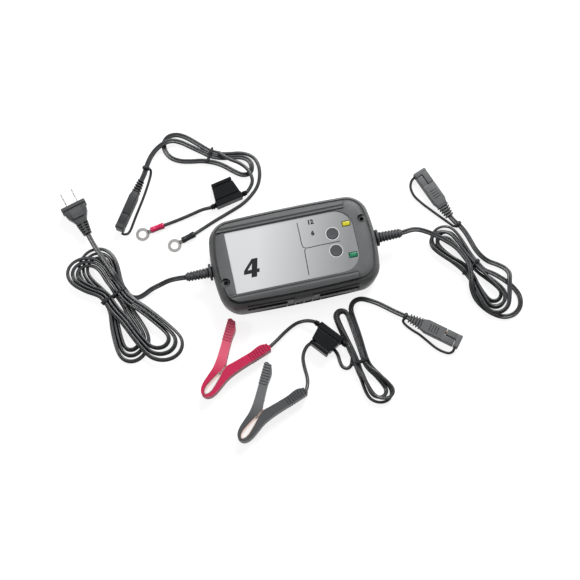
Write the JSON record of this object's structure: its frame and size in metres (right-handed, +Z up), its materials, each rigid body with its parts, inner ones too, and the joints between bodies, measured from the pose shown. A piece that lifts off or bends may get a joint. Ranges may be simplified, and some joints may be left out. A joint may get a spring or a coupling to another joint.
{
  "type": "car battery charger",
  "caption": "Car battery charger: sealed case with selector buttons and lamps, coiled mains lead and plug, coiled output lead, fused ring-terminal lead and fused battery clamp lead.",
  "frame": {"origin": "centre of the case's bottom face, on the surface that the charger and its leads lie on", "axes": "+X along the case towards its output lead, +Y across the case towards the ring-terminal lead, +Z up out of the label"},
  "size_m": [0.472, 0.3519, 0.0414],
  "materials": {
    "case_plastic": "fine satin texture",
    "label_print": "satin printed panel",
    "button_plastic": "satin",
    "amber_lens": "clear tinted lens",
    "green_lens": "clear tinted lens",
    "circuit_board": "solder mask",
    "ferrite": "sintered",
    "heatsink_metal": "extruded",
    "capacitor_sleeve": "shrink sleeve",
    "switch_plastic": "moulded",
    "lamp_resin": "moulded",
    "screw_steel": "zinc plated",
    "relief_rubber": "moulded satin",
    "lead_jacket": "extruded satin jacket",
    "plug_plastic": "moulded satin",
    "nickel_blade": "nickel plated",
    "tie_plastic": "moulded",
    "contact_brass": "turned",
    "connector_rubber": "moulded satin",
    "fuse_plastic": "moulded",
    "fuse_resin": "translucent moulded",
    "tinned_copper": "tin plated",
    "red_plastic": "moulded satin",
    "black_sleeve_plastic": "moulded satin",
    "black_grip_plastic": "moulded satin",
    "copper_plate": "copper plated",
    "spring_steel": "drawn wire"
  },
  "bodies": {
    "charger": {"case_bottom": "case_plastic", "case_top": "case_plastic", "label_panel": "label_print", "amber_window": "amber_lens", "green_window": "green_lens", "main_board": "circuit_board", "control_board": "circuit_board", "transformer": "ferrite", "heatsink": "heatsink_metal", "capacitors": "capacitor_sleeve", "tact_switches": "switch_plastic", "indicator_leds": "lamp_resin", "case_screws": "screw_steel", "mains_strain_relief": "relief_rubber", "output_strain_relief": "relief_rubber", "mains_cord_near": "lead_jacket", "mains_hank": "lead_jacket", "mains_cord_far": "lead_jacket", "plug_body": "plug_plastic", "plug_blades": "nickel_blade", "cable_ties": "tie_plastic", "connector_contacts": "contact_brass", "output_cord_near": "lead_jacket", "output_hank": "lead_jacket", "output_cord_far": "lead_jacket", "output_connector": "connector_rubber", "output_tether": "connector_rubber", "ring_connector": "connector_rubber", "ring_tether": "connector_rubber", "ring_cord": "lead_jacket", "ring_red_wire": "lead_jacket", "ring_black_wire": "lead_jacket", "ring_fuse_body": "fuse_plastic", "ring_terminals": "tinned_copper", "red_sleeve": "red_plastic", "black_sleeve": "black_sleeve_plastic", "clamp_connector": "connector_rubber", "clamp_tether": "connector_rubber", "clamp_cord": "lead_jacket", "clamp_hank": "lead_jacket", "clamp_red_wire": "lead_jacket", "clamp_black_wire": "lead_jacket", "clamp_fuse_body": "fuse_plastic", "blade_fuses": "fuse_resin", "red_fixed_grip": "red_plastic", "black_fixed_grip": "black_grip_plastic", "fixed_jaws": "copper_plate", "clamp_springs": "spring_steel"},
    "voltage_button_body": {"voltage_button": "button_plastic"},
    "type_button_body": {"type_button": "button_plastic"},
    "red_clamp_arm": {"red_moving_grip": "red_plastic", "red_moving_jaw": "copper_plate"},
    "black_clamp_arm": {"black_moving_grip": "black_grip_plastic", "black_moving_jaw": "copper_plate"},
    "output_cap_body": {"output_cap": "connector_rubber"},
    "ring_cap_body": {"ring_cap": "connector_rubber"},
    "clamp_cap_body": {"clamp_cap": "connector_rubber"},
    "ring_fuse_cap_body": {"ring_fuse_cap": "fuse_plastic"},
    "clamp_fuse_cap_body": {"clamp_fuse_cap": "fuse_plastic"}
  },
  "joints": [
    {"name": "voltage_button_press", "type": "slide", "parent": "charger", "child": "voltage_button_body", "axis": [0, 0, -1], "range_m": [0, 0.0006], "stiffness_N_per_m": 2500},
    {"name": "type_button_press", "type": "slide", "parent": "charger", "child": "type_button_body", "axis": [0, 0, -1], "range_m": [0, 0.0006], "stiffness_N_per_m": 2500},
    {"name": "red_clamp_hinge", "type": "hinge", "parent": "charger", "child": "red_clamp_arm", "pos_m": [-0.097, -0.103, 0.0078], "axis": [0, 0, -1], "range_deg": [0, 28], "stiffness_Nm_per_rad": 1.2, "springref_deg": -8.59, "deforming": ["clamp_springs"]},
    {"name": "black_clamp_hinge", "type": "hinge", "parent": "charger", "child": "black_clamp_arm", "pos_m": [-0.069, -0.157, 0.0078], "axis": [0, 0, -1], "range_deg": [0, 28], "stiffness_Nm_per_rad": 1.2, "springref_deg": -8.59, "deforming": ["clamp_springs"]},
    {"name": "output_cap_slide", "type": "slide", "parent": "charger", "child": "output_cap_body", "axis": [-0.3584, 0.9336, 0], "range_m": [0, 0.012], "deforming": ["output_tether"]},
    {"name": "ring_cap_slide", "type": "slide", "parent": "charger", "child": "ring_cap_body", "axis": [-0.5592, -0.829, 0], "range_m": [0, 0.012], "deforming": ["ring_tether"]},
    {"name": "clamp_cap_slide", "type": "slide", "parent": "charger", "child": "clamp_cap_body", "axis": [0.7771, -0.6293, 0], "range_m": [0, 0.012], "deforming": ["clamp_tether"]},
    {"name": "ring_fuse_cap_slide", "type": "slide", "parent": "charger", "child": "ring_fuse_cap_body", "axis": [-0.2079, 0.9781, 0], "range_m": [0, 0.01]},
    {"name": "clamp_fuse_cap_slide", "type": "slide", "parent": "charger", "child": "clamp_fuse_cap_body", "axis": [-0.766, -0.6428, 0], "range_m": [0, 0.01]}
  ]
}
